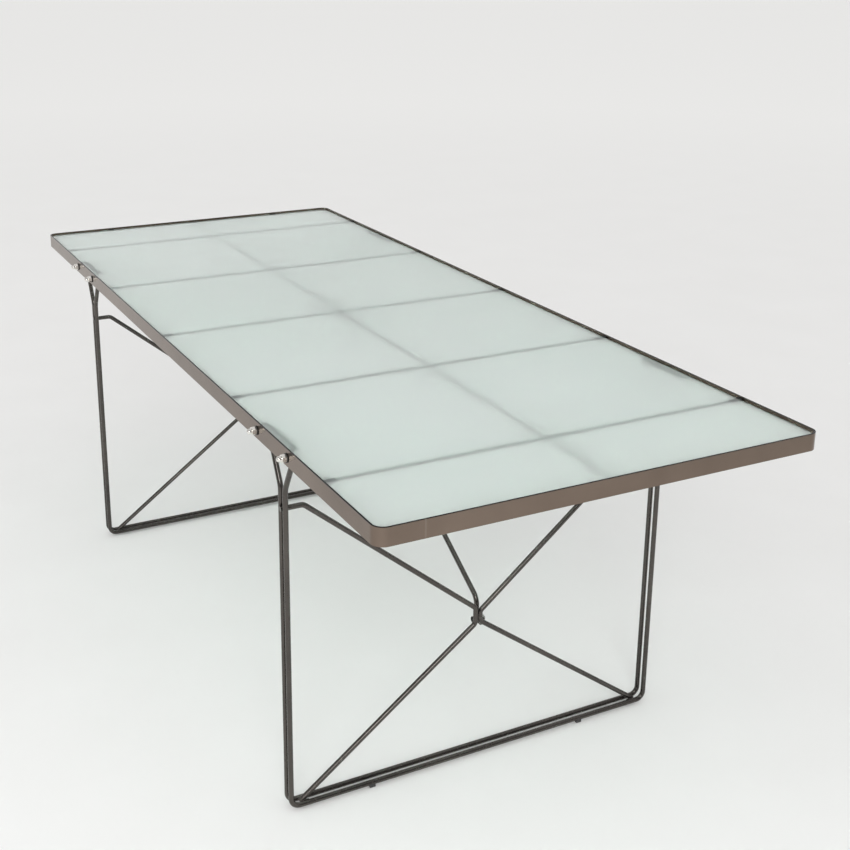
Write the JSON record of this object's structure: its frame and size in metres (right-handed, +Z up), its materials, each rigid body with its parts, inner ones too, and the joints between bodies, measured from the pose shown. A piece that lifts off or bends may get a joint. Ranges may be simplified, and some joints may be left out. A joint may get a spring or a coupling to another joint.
{
  "type": "table",
  "caption": "Long table with a frosted glass top set in a flat steel band, carried by two bent-rod trestles that are braced by diagonal rods.",
  "frame": {"origin": "on the floor, under the middle of the top", "axes": "+X along the length of the table, +Y across it, +Z up"},
  "size_m": [1.98, 0.8448, 0.72],
  "materials": {
    "frosted_glass": "frosted, pale green float glass",
    "band_steel": "semi-gloss brown-grey metallic lacquer",
    "rod_steel": "satin gunmetal lacquer",
    "nickel": "bright nickel plate",
    "dark_washer": "matt black",
    "rubber": "matt black",
    "nylon": "matt black"
  },
  "bodies": {
    "frame": {"cap_nut_washers": "dark_washer", "cap_nuts": "nickel", "centre_bolt": "nickel", "centre_bracket": "rod_steel", "centre_nut": "nickel", "cross_rod_1": "rod_steel", "cross_rod_2": "rod_steel", "cross_rod_3": "rod_steel", "cross_rod_4": "rod_steel", "cross_rod_5": "rod_steel", "end_bumpers": "rubber", "foot_glides": "nylon", "frame_band": "band_steel", "glass_pads_left": "rubber", "glass_pads_right": "rubber", "hub_bolts": "nickel", "hub_nuts": "nickel", "hub_washers": "nickel", "long_rod": "rod_steel", "trestle_1_hub_lug": "rod_steel", "trestle_1_inner_frame_rod": "rod_steel", "trestle_1_left_brace": "rod_steel", "trestle_1_left_top_bar": "rod_steel", "trestle_1_outer_frame_rod": "rod_steel", "trestle_1_right_brace": "rod_steel", "trestle_1_right_top_bar": "rod_steel", "trestle_1_stay": "rod_steel", "trestle_2_hub_lug": "rod_steel", "trestle_2_inner_frame_rod": "rod_steel", "trestle_2_left_brace": "rod_steel", "trestle_2_left_top_bar": "rod_steel", "trestle_2_outer_frame_rod": "rod_steel", "trestle_2_right_brace": "rod_steel", "trestle_2_right_top_bar": "rod_steel", "trestle_2_stay": "rod_steel"},
    "glass": {"glass_top": "frosted_glass"}
  },
  "joints": [
    {"name": "glass_lift", "type": "slide", "parent": "frame", "child": "glass", "axis": [0, 0, 1], "range_m": [0, 0.15]}
  ]
}
